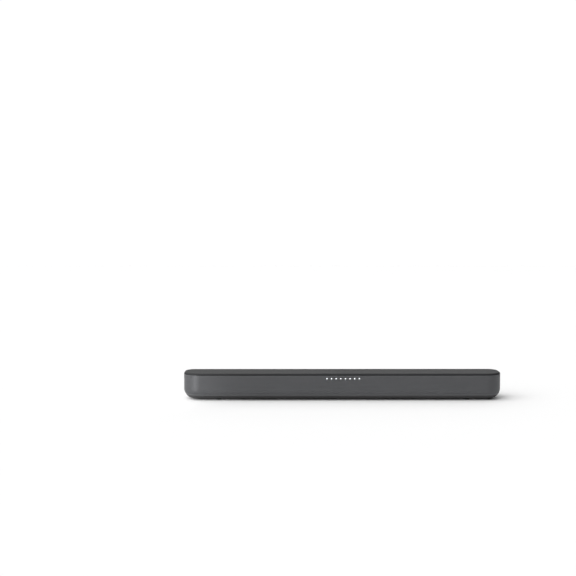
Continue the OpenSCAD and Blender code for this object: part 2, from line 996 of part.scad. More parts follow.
module case_screws() {
    color("#6f7174")
    for (p = post_places)
        translate([p[0], p[1], floor_z + seat_h])
            rotate([180, 0, 0])
                pan_screw(head_r, head_h, shank_r, shank_len);
}

module speaker_screws() {
    color("#6f7174")
    for (side = [-1, 1]) {
        to_driver(side)
            driver_bolts()
                pan_screw(small_head_r, small_head_h, small_shank_r, small_shank_len);
        box_screw_places(side)
            translate([0, box_rear_y + cover_t, 0])
                rotate([-90, 0, 0])
                    pan_screw(small_head_r, small_head_h, small_shank_r, small_shank_len);
    }
}

module board_screws() {
    color("#6f7174")
    for (p = board_places)
        translate([p[0], p[1], board_top])
            pan_screw(board_head_r, board_head_h, board_screw_r, board_t + board_screw_len - 1);
    color("#6f7174")
    for (p = key_post_places)
        translate([p[0], p[1], key_board_z])
            rotate([180, 0, 0])
                pan_screw(board_head_r, board_head_h, board_screw_r, key_board_t + 3);
}

// ---------------------------------------------------------------- cables

function unit(v) = v / norm(v);

function route_direction(route, k) =
    unit(route[min(k + 1, len(route) - 1)] - route[max(k - 1, 0)]);

// Points of one ring of a cable, square to the route; lean is a direction the route never takes
function cable_ring(route, k, r, lean, sides) =
    let (
        along = route_direction(route, k),
        across = unit(cross(along, lean)),
        up = cross(across, along)
    )
    [for (j = [0:sides - 1]) let (a = 360 * j / sides) route[k] + r * (cos(a) * across + sin(a) * up)];

module cable(route, r, lean, sides = 8) {
    rings = len(route);
    points = [for (k = [0:rings - 1]) for (p = cable_ring(route, k, r, lean, sides)) p];
    walls = [for (k = [0:rings - 2]) for (j = [0:sides - 1])
        [k * sides + j, k * sides + (j + 1) % sides, (k + 1) * sides + (j + 1) % sides, (k + 1) * sides + j]];
    first = [for (j = [sides - 1:-1:0]) j];
    last = [for (j = [0:sides - 1]) (rings - 1) * sides + j];
    polyhedron(points = points, faces = concat([first], walls, [last]));
}

module speaker_leads() {
    color("#7a1f1c")
    union() {
        cable(left_route, lead_r, [0.6, 0.8, 0]);
        cable(right_route, lead_r, [-0.6, 0.8, 0]);
    }
}

module ribbon_cables() {
    color("#c8c8c4")
    union() {
        block(display_ribbon[0], display_ribbon[1], display_y + display_board_t,
            display_y + display_board_t + ribbon_t, board_top, grille_hi - 8);
        block(display_ribbon[0], display_ribbon[1], display_y + display_board_t, board_front_y + 4,
            board_top, board_top + ribbon_t);
    }
    color("#c8c8c4")
    block(key_ribbon[0], key_ribbon[1], key_ribbon_y, key_ribbon_y + ribbon_t,
        board_top, key_board_z + key_board_t);
}

bottom_case();
top_cover();
front_grille();
grille_cloth();
grille_frame();
rubber_feet();
connector_bay();
socket_plate();
inlet_bay();
wall_inserts();
speaker_box(-1);  // left_speaker_box
box_cover(-1);  // left_box_cover
basket(-1);  // left_basket
gasket(-1);  // left_gasket
magnet(-1);  // left_magnet
yoke(-1);  // left_yoke
cone(-1);  // left_cone
voice_coil(-1);  // left_voice_coil
surround(-1);  // left_surround
spider(-1);  // left_spider
speaker_box(1);  // right_speaker_box
box_cover(1);  // right_box_cover
basket(1);  // right_basket
gasket(1);  // right_gasket
magnet(1);  // right_magnet
yoke(1);  // right_yoke
cone(1);  // right_cone
voice_coil(1);  // right_voice_coil
surround(1);  // right_surround
spider(1);  // right_spider
main_board();
amplifier_heat_sink();
wireless_module();
hdmi_socket();
optical_socket();
usb_socket();
aux_jack();
power_board();
transformer();
power_capacitors();
mains_inlet();
display_board();
status_lights();
display_lens();
remote_receiver();
key_board();
key_switches();
keycap(0);  // power_key
keycap(1);  // source_key
keycap(2);  // volume_down_key
keycap(3);  // volume_up_key
plunger(0);  // power_plunger
plunger(1);  // source_plunger
plunger(2);  // volume_down_plunger
plunger(3);  // volume_up_plunger
case_screws();
speaker_screws();
board_screws();
speaker_leads();
ribbon_cables();
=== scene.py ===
import math

import bmesh
import bpy
import numpy as np
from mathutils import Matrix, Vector


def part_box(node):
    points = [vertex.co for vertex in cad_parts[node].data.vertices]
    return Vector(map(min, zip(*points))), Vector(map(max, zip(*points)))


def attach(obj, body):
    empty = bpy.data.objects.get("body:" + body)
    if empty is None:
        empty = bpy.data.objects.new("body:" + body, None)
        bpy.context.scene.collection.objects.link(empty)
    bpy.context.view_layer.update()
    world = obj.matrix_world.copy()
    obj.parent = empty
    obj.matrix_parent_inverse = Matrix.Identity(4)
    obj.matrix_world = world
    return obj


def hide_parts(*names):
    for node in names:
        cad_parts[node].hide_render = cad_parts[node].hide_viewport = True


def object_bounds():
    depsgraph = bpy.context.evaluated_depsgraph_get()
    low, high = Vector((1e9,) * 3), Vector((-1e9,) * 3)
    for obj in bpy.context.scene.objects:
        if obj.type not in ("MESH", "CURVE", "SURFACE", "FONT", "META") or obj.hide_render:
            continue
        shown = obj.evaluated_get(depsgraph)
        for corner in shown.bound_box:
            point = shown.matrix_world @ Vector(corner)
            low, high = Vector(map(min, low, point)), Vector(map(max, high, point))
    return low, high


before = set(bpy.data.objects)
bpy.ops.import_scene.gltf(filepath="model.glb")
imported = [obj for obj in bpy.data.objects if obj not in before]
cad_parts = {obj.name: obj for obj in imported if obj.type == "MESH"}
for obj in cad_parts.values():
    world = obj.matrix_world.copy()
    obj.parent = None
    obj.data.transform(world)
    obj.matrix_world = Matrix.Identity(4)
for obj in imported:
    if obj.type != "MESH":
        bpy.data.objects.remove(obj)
cad_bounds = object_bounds()

# ------------------------------------------------------------------ studio
# A pale seamless floor in a white room, darker toward the right, under one
# broad soft key light, with a small spot on the bar's left end.

camera_data = bpy.data.cameras.new("camera")
camera_data.lens = 60.46
camera_data.sensor_width = 36
camera = bpy.data.objects.new("camera", camera_data)
camera.location = (-0.1456, -2.435, 0.427)
camera.rotation_euler = (math.pi / 2 - 0.0605, 0, -0.0035)
bpy.context.scene.collection.objects.link(camera)
bpy.context.scene.camera = camera
bpy.context.scene.view_settings.view_transform = "Standard"

key_data = bpy.data.lights.new("key", "SUN")
key_data.energy = 2.1
key_data.angle = math.radians(70)
key = bpy.data.objects.new("key", key_data)
key.rotation_euler = Vector((0.65, 0.41, -0.75)).to_track_quat("-Z", "Y").to_euler()
bpy.context.scene.collection.objects.link(key)

corner_data = bpy.data.lights.new("left_spot", "SPOT")
corner_data.energy = 24
corner_data.spot_size = math.radians(13)
corner_data.spot_blend = 1
corner_data.shadow_soft_size = 0.05
corner_spot = bpy.data.objects.new("left_spot", corner_data)
corner_spot.location = (-0.86, -0.72, 0.25)
left_corner = Vector((-0.378, -0.03, 0.04))
corner_spot.rotation_euler = (left_corner - corner_spot.location).to_track_quat("-Z", "Y").to_euler()
bpy.context.scene.collection.objects.link(corner_spot)

world = bpy.data.worlds.new("white_room")
world.use_nodes = True
air = world.node_tree
dark_way = Vector((0.90, -0.43, 0)).normalized()
look = air.nodes.new("ShaderNodeTexCoord")
facing = air.nodes.new("ShaderNodeVectorMath")
facing.operation = "DOT_PRODUCT"
facing.inputs[1].default_value = dark_way
air.links.new(look.outputs["Generated"], facing.inputs[0])
dimming = air.nodes.new("ShaderNodeMapRange")
dimming.interpolation_type = "SMOOTHSTEP"
dimming.inputs["From Min"].default_value = -0.1
dimming.inputs["From Max"].default_value = 1
dimming.inputs["To Min"].default_value = 1.03
dimming.inputs["To Max"].default_value = 0.02
air.links.new(facing.outputs["Value"], dimming.inputs["Value"])
air.links.new(dimming.outputs["Result"], air.nodes["Background"].inputs["Strength"])
air.nodes["Background"].inputs["Color"].default_value = (1, 1, 1, 1)
bpy.context.scene.world = world

floor_half = 9
bpy.ops.mesh.primitive_plane_add(size=2 * floor_half, location=(0, 0, 0))
floor = bpy.context.object
floor.name = "studio_floor"
floor_paint = bpy.data.materials.new("studio_floor")
floor_paint.use_nodes = True
floor_shader = floor_paint.node_tree.nodes["Principled BSDF"]
floor_shader.inputs["Base Color"].default_value = (0.80, 0.80, 0.80, 1)
floor_shader.inputs["Roughness"].default_value = 0.9
floor_shader.inputs["Specular IOR Level"].default_value = 0.1
floor.data.materials.append(floor_paint)

# ------------------------------------------------------------------ bottom case
# The bottom case is one deep ABS moulding: a floor, a skirt that curves up to
# the grille, and a rear wall. Its satin black skin is lightly spark-eroded.

MM = 0.001
low, high = Vector(cad_bounds[0]), Vector(cad_bounds[1])
half_w = high.x
front_y, rear_y = low.y, high.y
top_z = high.z
floor_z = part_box("rubber_feet")[1].z
lip_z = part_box("bottom_case")[1].z
grille_lo, grille_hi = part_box("front_grille")[0].z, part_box("front_grille")[1].z
front_r = 43.5 * MM
rear_r = 26 * MM
under_r = 25 * MM
curve_z = floor_z + under_r - 0.5 * MM
wall = 2.5 * MM
front_cx, front_cy = half_w - front_r, front_y + front_r
rear_cx, rear_cy = half_w - rear_r, rear_y - rear_r
corner_steps = 24


def corner(cx, cy, r, start):
    """Stations round a quarter of the plan: a point on the outer edge and the way in."""
    stations = []
    for k in range(corner_steps + 1):
        a = math.radians(start + 90 * k / corner_steps)
        way = Vector((math.cos(a), math.sin(a)))
        stations.append((Vector((cx, cy)) + r * way, -way))
    return stations


front_line = (
    [(Vector((-half_w, rear_cy)), Vector((1, 0)))]
    + corner(-front_cx, front_cy, front_r, 180)
    + corner(front_cx, front_cy, front_r, 270)
    + [(Vector((half_w, rear_cy)), Vector((-1, 0)))]
)
rear_line = corner(rear_cx, rear_cy, rear_r, 0) + corner(-rear_cx, rear_cy, rear_r, 90)


def under_arc(inset, z_from, z_to, steps):
    """The curve under the case, as (distance in, height), climbing from z_from to z_to."""
    r = under_r - inset
    a_from = math.asin((curve_z - z_from) / r)
    a_to = math.asin((curve_z - z_to) / r)
    turn = [a_from + (a_to - a_from) * k / steps for k in range(steps + 1)]
    return [(under_r - r * math.cos(a), curve_z - r * math.sin(a)) for a in turn]


def new_piece(name, verts, faces, smooth_angle=35):
    mesh = bpy.data.meshes.new(name)
    mesh.from_pydata([tuple(v) for v in verts], [], faces)
    mesh.validate()
    mesh.shade_smooth()
    mesh.set_sharp_from_angle(angle=math.radians(smooth_angle))
    piece = bpy.data.objects.new(name, mesh)
    bpy.context.scene.collection.objects.link(piece)
    return piece


def tidy(piece, smooth_angle=35, merge=1e-6):
    """Merges doubled points, drops faces with no area and turns every face outwards."""
    bm = bmesh.new()
    bm.from_mesh(piece.data)
    bmesh.ops.remove_doubles(bm, verts=bm.verts, dist=merge)
    bmesh.ops.dissolve_degenerate(bm, edges=bm.edges, dist=merge)
    bmesh.ops.recalc_face_normals(bm, faces=bm.faces)
    bm.to_mesh(piece.data)
    bm.free()
    piece.data.shade_smooth()
    piece.data.set_sharp_from_angle(angle=math.radians(smooth_angle))
    return piece


def swept(name, stations, sections, smooth_angle=35):
    """A closed shell swept round the plan. Both ends of each section are filled across."""
    count = len(sections[0])
    verts, faces = [], []
    for (point, way), section in zip(stations, sections):
        for inward, z in section:
            x, y = point + way * inward
            verts.append((x, y, z))
    rounds = len(stations)
    for i in range(rounds):
        j = (i + 1) % rounds
        for k in range(count - 1):
            faces.append((i * count + k, j * count + k, j * count + k + 1, i * count + k + 1))
    faces.append([i * count for i in range(rounds)][::-1])
    faces.append([i * count + count - 1 for i in range(rounds)])
    return tidy(new_piece(name, verts, faces, smooth_angle), smooth_angle)


def apply_modifiers(piece, smooth_angle=35):
    graph = bpy.context.evaluated_depsgraph_get()
    mesh = bpy.data.meshes.new_from_object(piece.evaluated_get(graph))
    piece.modifiers.clear()
    piece.data = mesh
    return tidy(piece, smooth_angle)


def cut(piece, cutters, smooth_angle=35):
    """Takes each cutter out of the piece, then removes the cutters."""
    for cutter in cutters:
        hole = piece.modifiers.new("hole", "BOOLEAN")
        hole.operation = "DIFFERENCE"
        hole.solver = "EXACT"
        hole.object = cutter
    bpy.context.view_layer.update()
    apply_modifiers(piece, smooth_angle)
    for cutter in cutters:
        bpy.data.objects.remove(cutter)
    return piece


def brick(name, a, b):
    """A plain block from corner a to corner b, used as a cutter or a starting shape."""
    verts = [(x, y, z) for z in (a[2], b[2]) for y in (a[1], b[1]) for x in (a[0], b[0])]
    faces = [(0, 2, 3, 1), (4, 5, 7, 6), (0, 1, 5, 4), (2, 6, 7, 3), (0, 4, 6, 2), (1, 3, 7, 5)]
    return new_piece(name, verts, faces)


def eased(piece, width, steps=2, angle=30):
    """Rounds every sharp edge of a piece a little, as a mould leaves it."""
    rounding = piece.modifiers.new("rounding", "BEVEL")
    rounding.width = width
    rounding.segments = steps
    rounding.limit_method = "ANGLE"
    rounding.angle_limit = math.radians(angle)
    return apply_modifiers(piece)


def turned(name, profile, centre, axis="z", sides=48, smooth_angle=35):
    """A lathe-turned piece. The profile is (radius, height) from its foot up to its top."""
    verts, faces = [], []
    for k in range(sides):
        a = 2 * math.pi * k / sides
        for r, h in profile:
            spot = {
                "z": (r * math.cos(a), r * math.sin(a), h),
                "-z": (r * math.cos(a), -r * math.sin(a), -h),
                "y": (-r * math.cos(a), h, r * math.sin(a)),
                "-y": (r * math.cos(a), -h, r * math.sin(a)),
            }[axis]
            verts.append(Vector(centre) + Vector(spot))
    count = len(profile)
    for k in range(sides):
        n = (k + 1) % sides
        for j in range(count):
            m = (j + 1) % count
            faces.append((k * count + j, n * count + j, n * count + m, k * count + m))
    return tidy(new_piece(name, verts, faces, smooth_angle), smooth_angle)


def finish_material(
    name, colour, roughness, grain, depth, metallic=0.0, mottle=0.12, coat=0.0, specular=0.5, polish=0.03
):
    """A finish with a fine surface grain, a little mottling and uneven gloss.

    grain is how many bumps fit in a metre, depth their height in metres."""
    material = bpy.data.materials.new(name)
    material.use_nodes = True
    nodes, links = material.node_tree.nodes, material.node_tree.links
    shader = nodes["Principled BSDF"]
    shader.inputs["Metallic"].default_value = metallic
    shader.inputs["Specular IOR Level"].default_value = specular
    shader.inputs["Coat Weight"].default_value = coat
    shader.inputs["Coat Roughness"].default_value = polish
    place = nodes.new("ShaderNodeTexCoord")
    patches = nodes.new("ShaderNodeTexNoise")
    patches.inputs["Scale"].default_value = 14
    patches.inputs["Detail"].default_value = 3
    links.new(place.outputs["Object"], patches.inputs["Vector"])
    tint = nodes.new("ShaderNodeMix")
    tint.data_type = "RGBA"
    tint.inputs["A"].default_value = (*[c * (1 - mottle) for c in colour], 1)
    tint.inputs["B"].default_value = (*[min(1, c * (1 + mottle)) for c in colour], 1)
    links.new(patches.outputs["Fac"], tint.inputs["Factor"])
    links.new(tint.outputs["Result"], shader.inputs["Base Color"])
    speckle = nodes.new("ShaderNodeTexNoise")
    speckle.inputs["Scale"].default_value = grain
    speckle.inputs["Detail"].default_value = 4
    links.new(place.outputs["Object"], speckle.inputs["Vector"])
    gloss = nodes.new("ShaderNodeMapRange")
    gloss.inputs["To Min"].default_value = roughness * 0.88
    gloss.inputs["To Max"].default_value = min(1, roughness * 1.12)
    links.new(speckle.outputs["Fac"], gloss.inputs["Value"])
    links.new(gloss.outputs["Result"], shader.inputs["Roughness"])
    relief = nodes.new("ShaderNodeBump")
    relief.inputs["Strength"].default_value = 0.6
    relief.inputs["Distance"].default_value = depth
    links.new(speckle.outputs["Fac"], relief.inputs["Height"])
    links.new(relief.outputs["Normal"], shader.inputs["Normal"])
    return material


def dress(piece, material, body="housing", replaces=()):
    """Gives a new piece its finish, its body and the CAD nodes that it stands for."""
    piece.data.materials.clear()
    piece.data.materials.append(material)
    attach(piece, body)
    if replaces:
        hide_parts(*replaces)
    return piece


def dress_node(node, material):
    """Gives a CAD node that stays in view its finish."""
    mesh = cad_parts[node].data
    mesh.materials.clear()
    mesh.materials.append(material)


case_black = finish_material("case_black", (0.028, 0.028, 0.029), 0.5, 3200, 0.00004)

floor_reach = 24 * MM
base_arc = under_arc(0, floor_z, grille_lo, 12)
upper_arc = under_arc(0, grille_lo, curve_z, 8)[1:]
inner_high = under_arc(wall, floor_z + 8 * MM, curve_z, 6)[::-1]
inner_low = under_arc(wall, floor_z + wall, floor_z + 8 * MM, 8)[::-1][1:]
foot_of_section = [(floor_reach, floor_z)]
end_of_section = [(floor_reach, floor_z + wall)]
rear_top = [(0, lip_z), (wall, lip_z)]
rear_section = (
    foot_of_section + base_arc + upper_arc + rear_top + inner_high + inner_low + end_of_section
)
ledge_in, ledge_out = 3.4 * MM, 5.4 * MM
tongue_top = grille_lo + 2 * MM
front_section = (
    foot_of_section
    + base_arc
    + [base_arc[-1]] * len(upper_arc)
    + [(ledge_in + base_arc[-1][0], grille_lo), (ledge_in + base_arc[-1][0], tongue_top)]
    + [(ledge_out + base_arc[-1][0], tongue_top)] * (len(inner_high) - 1)
    + [inner_high[-1]]
    + inner_low
    + end_of_section
)
bottom_case = swept(
    "bottom_case_shell",
    front_line + rear_line,
    [front_section] * len(front_line) + [rear_section] * len(rear_line),
)

end_screw_x, mid_screw_x = 376 * MM, 113.5 * MM
front_screw_y, rear_screw_y = -22 * MM, 25 * MM
screw_wells = [(-end_screw_x, 0), (end_screw_x, 0)]
screw_wells += [(x, y) for x in (-mid_screw_x, mid_screw_x) for y in (front_screw_y, rear_screw_y)]
well_r, well_depth = 3.3 * MM, 3.4 * MM
insert_r = 3.6 * MM
insert_low, insert_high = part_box("wall_inserts")
insert_z = (insert_low.z + insert_high.z) / 2
insert_x = insert_high.x - insert_r
foot_low, foot_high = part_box("rubber_feet")
foot_r = 8 * MM
foot_places = [(x * (foot_high.x - foot_r), y * (foot_high.y - foot_r)) for x in (-1, 1) for y in (-1, 1)]

cutters = []
for x, y in screw_wells:
    profile = [(0, -1 * MM), (well_r, -1 * MM), (well_r, well_depth), (0, well_depth)]
    cutters.append(turned("well", profile, (x, y, floor_z), sides=32))
for side in (-1, 1):
    profile = [(0, -wall - 2 * MM), (insert_r, -wall - 2 * MM), (insert_r, 1 * MM), (0, 1 * MM)]
    cutters.append(turned("seat", profile, (side * insert_x, rear_y, insert_z), "y", sides=32))
panel_low, panel_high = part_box("inlet_bay")[0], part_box("connector_bay")[1]
gap = Vector((0.2 * MM, 0, 0))
notch_low = Vector((panel_low.x, rear_y - wall - 2 * MM, panel_low.z)) - gap
notch_high = Vector((panel_high.x, rear_y + 1 * MM, lip_z + 1 * MM)) + gap
cutters.append(brick("panel_notch", notch_low, notch_high))
for x, y in foot_places:
    profile = [(0, -1 * MM), (foot_r + 0.5 * MM, -1 * MM), (foot_r + 0.5 * MM, 0.5 * MM), (0, 0.5 * MM)]
    cutters.append(turned("pad", profile, (x, y, floor_z), sides=48))
cut(bottom_case, cutters)
dress(bottom_case, case_black, replaces=["bottom_case"])

# ------------------------------------------------------------------ feet
# Four round rubber pads are glued into shallow seats under the case. Each has
# a rounded rim and fine rings that grip the shelf.

foot_rubber = finish_material("foot_rubber", (0.022, 0.022, 0.022), 0.78, 1500, 0.00008)
foot_profile = [(0, floor_z + 0.45 * MM), (0, 0.35 * MM)]
for ring in range(3):
    r = (1.6 + 1.9 * ring) * MM
    foot_profile += [(r, 0.35 * MM), (r + 0.3 * MM, 0), (r + 1.0 * MM, 0), (r + 1.3 * MM, 0.35 * MM)]
foot_profile += [(foot_r - 0.5 * MM, 0.35 * MM), (foot_r, 0.9 * MM), (foot_r, floor_z + 0.45 * MM)]
for k, (x, y) in enumerate(foot_places):
    foot = turned(f"rubber_foot_{k + 1}", foot_profile[::-1], (x, y, 0), sides=48)
    dress(foot, foot_rubber, replaces=["rubber_feet"])

# ------------------------------------------------------------------ grille frame
# A black moulded frame stiffens the grille from behind. It is the CAD part.

frame_black = finish_material("frame_black", (0.012, 0.012, 0.012), 0.7, 2400, 0.00004)
dress_node("grille_frame", frame_black)

# ------------------------------------------------------------------ grille cloth
# Thin black acoustic cloth is glued inside the grille and hides what lies
# behind. It is the CAD part, with a woven finish.

cloth_black = finish_material("cloth_black", (0.012, 0.012, 0.012), 0.95, 1400, 0.0001)
dress_node("grille_cloth", cloth_black)

# ------------------------------------------------------------------ grille
# The grille is a thin steel sheet, punched with staggered round holes, rolled
# in at its foot, bent round both ends and powder coated satin dark grey.

grille_t = 0.9 * MM
hole_r = 0.9 * MM
lit_hole_r = 1.15 * MM
hole_sides = 12
end_run = rear_cy - front_cy
corner_run = front_r * math.pi / 2
front_run = 2 * front_cx
sheet_run = 2 * end_run + 2 * corner_run + front_run
bend_angle = math.asin((curve_z - grille_lo) / under_r)
bend_run = under_r * bend_angle
sheet_rise = bend_run + grille_hi - curve_z
light_low, light_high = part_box("status_lights")
light_r = (light_high.z - light_low.z) / 2
light_z = (light_high.z + light_low.z) / 2
light_count = 8
light_step = (light_high.x - light_low.x - 2 * light_r) / (light_count - 1)
hole_pitch = light_step / 4
half_pitch = hole_pitch / 2
row_pitch = hole_pitch * math.sqrt(3) / 2
light_run = bend_run + light_z - curve_z
rows_below = int((light_run - 1.4 * MM) / row_pitch - 0.5)
hem = light_run - (rows_below + 0.5) * row_pitch
row_count = int((sheet_rise - hem - 0.4 * MM) / row_pitch)
half_steps = 4 * int((sheet_run / half_pitch - 2) / 4) + 2
margin = (sheet_run - half_steps * half_pitch) / 2
light_runs = [sheet_run / 2 + (n - (light_count - 1) / 2) * light_step for n in range(light_count)]


def sheet_spot(u, v, depth):
    """Where a point of the flat sheet lies once bent: u along, v up, depth behind its face."""
    a = np.clip(bend_angle * (1 - v / bend_run), 0, None)
    r = under_r - depth
    inward = under_r - r * np.cos(a)
    z = np.where(v < bend_run, curve_z - r * np.sin(a), curve_z + v - bend_run)
    w = np.abs(u - sheet_run / 2)
    side = np.sign(u - sheet_run / 2)
    turn = np.clip((w - front_run / 2) / front_r, 0, math.pi / 2)
    on_front = w < front_run / 2
    x = np.where(on_front, w, front_cx + (front_r - inward) * np.sin(turn))
    y = np.where(on_front, front_y + inward, front_cy - (front_r - inward) * np.cos(turn))
    past = w - front_run / 2 - corner_run
    y = np.where(past > 0, front_cy + past, y)
    return np.stack([side * x, y, z], axis=1)


def punched_sheet(name, first, last):
    """One stretch of the sheet, from half-pitch first to last, with its holes and both faces."""
    levels = [0.0] + [hem + k * row_pitch for k in range(row_count + 1)] + [sheet_rise]
    flat, index, faces = [], {}, []

    def grid(i, j):
        if (i, j) not in index:
            index[i, j] = len(flat)
            run = {0: 0, half_steps: sheet_run}.get(i, margin + i * half_pitch)
            flat.append((run, levels[j]))
        return index[i, j]

    def plain(i, j):
        faces.append((grid(i, j), grid(i + 1, j), grid(i + 1, j + 1), grid(i, j + 1)))

    for i in range(first, last):
        plain(i, 0)
        plain(i, row_count + 1)
    for j in range(1, row_count + 1):
        shift = (j - rows_below - 1) % 2
        i = first + shift
        stop = last if last == half_steps else last + shift
        if shift and first == 0:
            plain(first, j)
        while i + 2 <= stop:
            cx, cy = margin + (i + 1) * half_pitch, (levels[j] + levels[j + 1]) / 2
            ring = len(flat)
            nearest = min(abs(cx - run) for run in light_runs)
            r = lit_hole_r if j == rows_below + 1 and nearest < half_pitch / 2 else hole_r
            for k in range(hole_sides):
                a = math.radians(-150 + 30 * k)
                flat.append((cx + r * math.cos(a), cy + r * math.sin(a)))
            edge = [grid(i + k, j) for k in (0, 1, 2)] + [grid(i + k, j + 1) for k in (2, 1, 0)]
            for k in range(6):
                b0, b1 = edge[k], edge[(k + 1) % 6]
                h0, h1, h2 = ring + 2 * k, ring + 2 * k + 1, ring + (2 * k + 2) % hole_sides
                faces.append((b0, b1, h2, h1))
                faces.append((b0, h1, h0))
            i += 2
        if i < stop:
            plain(i, j)
    flat = np.array(flat)
    count = len(flat)
    once = {}
    for face in faces:
        for a, b in zip(face, face[1:] + face[:1]):
            if (b, a) in once:
                del once[b, a]
            else:
                once[a, b] = True
    back = [tuple(v + count for v in face[::-1]) for face in faces]
    rims = [(b, a, a + count, b + count) for a, b in once]
    skins = [sheet_spot(flat[:, 0], flat[:, 1], depth) for depth in (0.0, grille_t)]
    return new_piece(name, np.concatenate(skins).tolist(), faces + back + rims, 40)


grille_grey = finish_material(
    "grille_grey", (0.128, 0.130, 0.136), 0.38, 5200, 0.00002, metallic=0.6, mottle=0.05
)
stretches = [0, half_steps // 6 * 2, half_steps // 3 * 2, half_steps]
for k in range(3):
    panel = punched_sheet(f"grille_panel_{k + 1}", stretches[k], stretches[k + 1])
    dress(panel, grille_grey, replaces=["front_grille"])

# ------------------------------------------------------------------ status display
# Eight white light pipes sit in a smoked bar just behind the grille, with the
# display board and the remote-control receiver behind them.

lens_low, lens_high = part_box("display_lens")
light_x = [light_low.x + light_r + k * light_step for k in range(light_count)]

smoked_bar = brick("display_bar", lens_low, lens_high)
pipe_holes = []
for x in light_x:
    profile = [(0, -3 * MM), (light_r + 0.1 * MM, -3 * MM), (light_r + 0.1 * MM, 3 * MM), (0, 3 * MM)]
    pipe_holes.append(turned("pipe_hole", profile, (x, lens_low.y, light_z), "y", sides=32))
cut(smoked_bar, pipe_holes)
lens_smoke = finish_material("lens_smoke", (0.008, 0.008, 0.009), 0.4, 600, 0.00001, specular=0.2)
dress(smoked_bar, lens_smoke, replaces=["display_lens"])

light_white = finish_material("light_white", (0.9, 0.92, 0.95), 0.3, 900, 0.00001)
light_shader = light_white.node_tree.nodes["Principled BSDF"]
light_shader.inputs["Emission Color"].default_value = (0.94, 0.97, 1.0, 1)
light_shader.inputs["Emission Strength"].default_value = 2.9
reach = light_high.y - lens_low.y
for k, x in enumerate(light_x):
    r = light_r - 0.1 * MM
    profile = [(0, 0), (r, 0), (r, reach - 0.3 * MM), (r - 0.3 * MM, reach - 0.08 * MM)]
    profile += [(r - 0.8 * MM, reach), (0, reach)]
    pipe = turned(f"light_pipe_{k + 1}", profile, (x, light_high.y, light_z), "-y", sides=24)
    dress(pipe, light_white, replaces=["status_lights"])

board_green = finish_material("board_green", (0.02, 0.10, 0.045), 0.32, 700, 0.00002, coat=0.4)
board_black = finish_material("board_black", (0.012, 0.013, 0.012), 0.4, 700, 0.00002)
dress_node("display_board", board_black)
dress_node("key_board", board_green)
receiver_dark = finish_material("receiver_dark", (0.03, 0.008, 0.01), 0.15, 500, 0.00001)
dress_node("remote_receiver", receiver_dark)

# ------------------------------------------------------------------ lid
# The lid is a flat satin ABS moulding with a rounded lip, pierced for the
# keys. A short tongue under it holds the grille's upper edge.

lip_r = top_z - lip_z
lid_wall = wall
plate_z = top_z - lid_wall
tongue_in, tongue_out, tongue_low = ledge_in, ledge_out, lip_z - 3.5 * MM
edge_break = 0.3 * MM
lid_section = [
    (tongue_out + 4 * MM, plate_z),
    (tongue_out, plate_z),
    (tongue_out, tongue_low),
    (tongue_in, tongue_low),
    (tongue_in, plate_z),
    (wall, plate_z),
    (wall, lip_z),
    (edge_break, lip_z),
]
lip_steps = 12
for k in range(lip_steps + 1):
    a = math.pi / 2 * k / lip_steps
    rise = lip_r - edge_break
    lid_section.append((lip_r - lip_r * math.cos(a), lip_z + edge_break + rise * math.sin(a)))
lid_section.append((tongue_out + 4 * MM, top_z))
lid = swept("top_cover_shell", front_line + rear_line, [lid_section] * (len(front_line) + len(rear_line)))

key_names = ["power", "source", "volume_down", "volume_up"]
key_r, key_gap = 6 * MM, 0.4 * MM
key_spots = {}
for name in key_names:
    a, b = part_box(f"{name}_key")
    key_spots[name] = ((a.x + b.x) / 2, (a.y + b.y) / 2)
key_holes = []
for x, y in key_spots.values():
    r = key_r + key_gap
    profile = [(0, -1 * MM), (r, -1 * MM), (r, lid_wall - 0.3 * MM), (r + 0.3 * MM, lid_wall)]
    profile += [(r + 0.3 * MM, 4 * MM), (0, 4 * MM)]
    key_holes.append(turned("key_hole", profile, (x, y, plate_z), sides=64))
lug_half = 66 * MM
lug_low = (-lug_half, front_y + 3.2 * MM, tongue_low - 1 * MM)
lug_high = (lug_half, front_y + 6.6 * MM, plate_z - 0.01 * MM)
key_holes.append(brick("lug_room", lug_low, lug_high))
cut(lid, key_holes)
lid_grey = finish_material(
    "lid_grey", (0.025, 0.0255, 0.0265), 0.62, 4200, 0.00002, coat=0.06, specular=0.05, polish=0.08
)
dress(lid, lid_grey, replaces=["top_cover"])

# ------------------------------------------------------------------ lid posts
# Six hollow posts moulded under the lid reach down to the case, and the case
# screws cut their threads in them.

cup_h = 6 * MM
post_low, post_high = floor_z + cup_h, plate_z + 0.5 * MM
profile = [(1.45, post_low), (3.3, post_low), (3.5, post_low + 0.3 * MM)]
profile += [(3.6, post_high), (1.45, post_high)]
profile = [(r * MM, z) for r, z in profile]
for k, (x, y) in enumerate(screw_wells):
    post = turned(f"lid_post_{k + 1}", profile, (x, y, 0), sides=32)
    dress(post, lid_grey)

# ------------------------------------------------------------------ case posts
# Moulded with the case: cups that let the case screws' heads in from below,
# hollow posts under the two large boards and plain pads under the speaker boxes.

